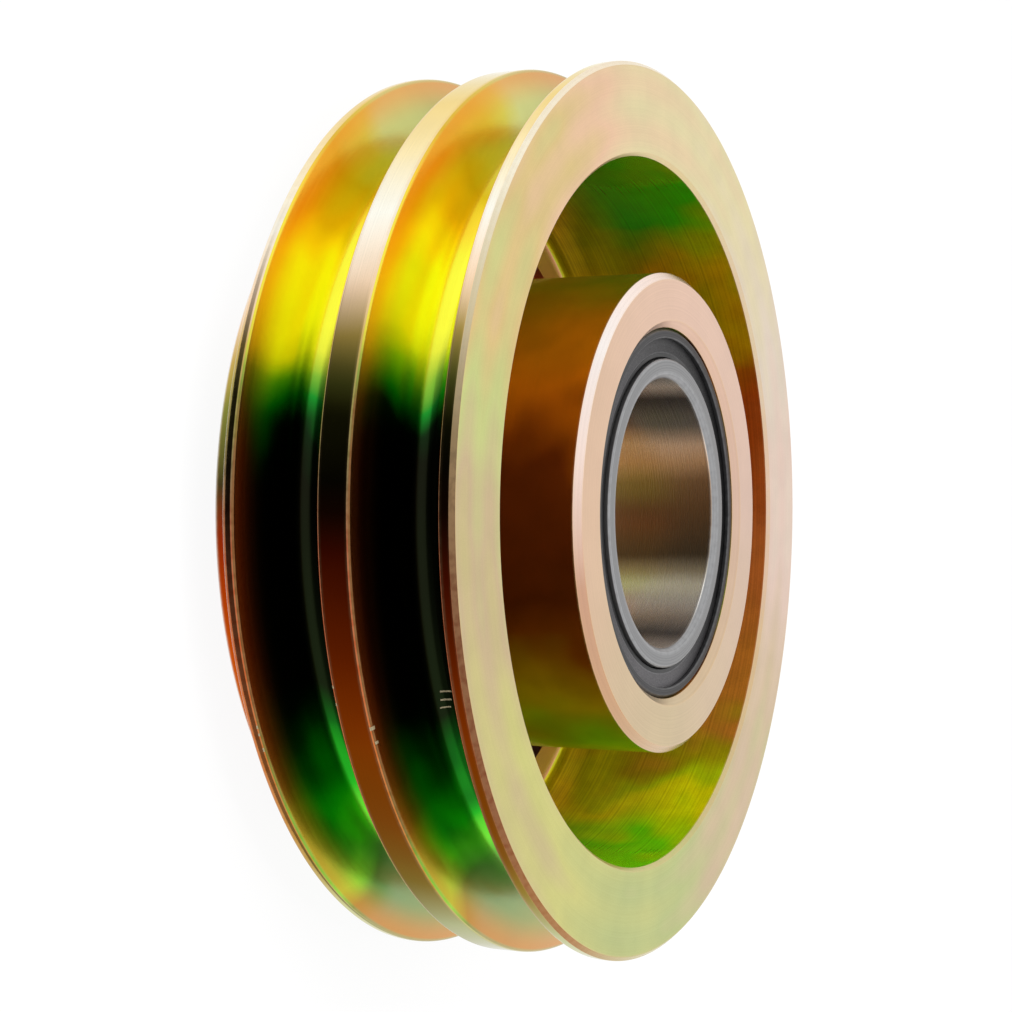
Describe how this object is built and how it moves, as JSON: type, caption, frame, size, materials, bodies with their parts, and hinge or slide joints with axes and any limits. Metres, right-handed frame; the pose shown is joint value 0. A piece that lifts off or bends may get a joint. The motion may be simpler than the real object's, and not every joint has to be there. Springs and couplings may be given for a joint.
{
  "type": "compressor clutch pulley",
  "caption": "Turned steel clutch rotor pulley with V-belt grooves on its rim, an open ring-shaped coil cavity and a sealed ball bearing in its hub.",
  "frame": {"origin": "centre of the friction face, on which the pulley stands", "axes": "+Z along the pulley's axis, from the friction face to the coil side; X and Y are radial"},
  "size_m": [0.132, 0.132, 0.0433],
  "materials": {
    "yellow_zinc_steel": "turned steel, yellow zinc plated",
    "ground_bearing_steel": "ground",
    "polished_ball_steel": "polished",
    "seal_steel": "satin grey",
    "seal_rubber": "moulded",
    "cage_nylon": "moulded nylon"
  },
  "bodies": {
    "rotor": {"pulley_rotor": "yellow_zinc_steel", "bearing_outer_ring": "ground_bearing_steel", "coil_side_seal_insert": "seal_steel", "coil_side_seal_lip": "seal_rubber", "friction_side_seal_insert": "seal_steel", "friction_side_seal_lip": "seal_rubber"},
    "inner_ring": {"bearing_inner_ring": "ground_bearing_steel"},
    "coil_side_row": {"coil_side_cage": "cage_nylon", "coil_side_ball_01": "polished_ball_steel", "coil_side_ball_02": "polished_ball_steel", "coil_side_ball_03": "polished_ball_steel", "coil_side_ball_04": "polished_ball_steel", "coil_side_ball_05": "polished_ball_steel", "coil_side_ball_06": "polished_ball_steel", "coil_side_ball_07": "polished_ball_steel", "coil_side_ball_08": "polished_ball_steel", "coil_side_ball_09": "polished_ball_steel", "coil_side_ball_10": "polished_ball_steel", "coil_side_ball_11": "polished_ball_steel", "coil_side_ball_12": "polished_ball_steel", "coil_side_ball_13": "polished_ball_steel", "coil_side_ball_14": "polished_ball_steel", "coil_side_ball_15": "polished_ball_steel", "coil_side_ball_16": "polished_ball_steel", "coil_side_ball_17": "polished_ball_steel", "coil_side_ball_18": "polished_ball_steel", "coil_side_ball_19": "polished_ball_steel", "coil_side_ball_20": "polished_ball_steel", "coil_side_ball_21": "polished_ball_steel", "coil_side_ball_22": "polished_ball_steel", "coil_side_ball_23": "polished_ball_steel", "coil_side_ball_24": "polished_ball_steel"},
    "friction_side_row": {"friction_side_cage": "cage_nylon", "friction_side_ball_01": "polished_ball_steel", "friction_side_ball_02": "polished_ball_steel", "friction_side_ball_03": "polished_ball_steel", "friction_side_ball_04": "polished_ball_steel", "friction_side_ball_05": "polished_ball_steel", "friction_side_ball_06": "polished_ball_steel", "friction_side_ball_07": "polished_ball_steel", "friction_side_ball_08": "polished_ball_steel", "friction_side_ball_09": "polished_ball_steel", "friction_side_ball_10": "polished_ball_steel", "friction_side_ball_11": "polished_ball_steel", "friction_side_ball_12": "polished_ball_steel", "friction_side_ball_13": "polished_ball_steel", "friction_side_ball_14": "polished_ball_steel", "friction_side_ball_15": "polished_ball_steel", "friction_side_ball_16": "polished_ball_steel", "friction_side_ball_17": "polished_ball_steel", "friction_side_ball_18": "polished_ball_steel", "friction_side_ball_19": "polished_ball_steel", "friction_side_ball_20": "polished_ball_steel", "friction_side_ball_21": "polished_ball_steel", "friction_side_ball_22": "polished_ball_steel", "friction_side_ball_23": "polished_ball_steel", "friction_side_ball_24": "polished_ball_steel"}
  },
  "joints": [
    {"name": "bearing_turn", "type": "hinge", "parent": "rotor", "child": "inner_ring", "pos_m": [0, 0, 0.0303], "axis": [0, 0, 1], "continuous": true},
    {"name": "coil_side_row_turn", "type": "hinge", "parent": "rotor", "child": "coil_side_row", "pos_m": [0, 0, 0.0358], "axis": [0, 0, 1], "continuous": true},
    {"name": "friction_side_row_turn", "type": "hinge", "parent": "rotor", "child": "friction_side_row", "pos_m": [0, 0, 0.0248], "axis": [0, 0, 1], "continuous": true}
  ],
  "couplings": [
    {"joint": "coil_side_row_turn", "follows": "bearing_turn", "ratio": 0.4618},
    {"joint": "friction_side_row_turn", "follows": "bearing_turn", "ratio": 0.4618}
  ]
}
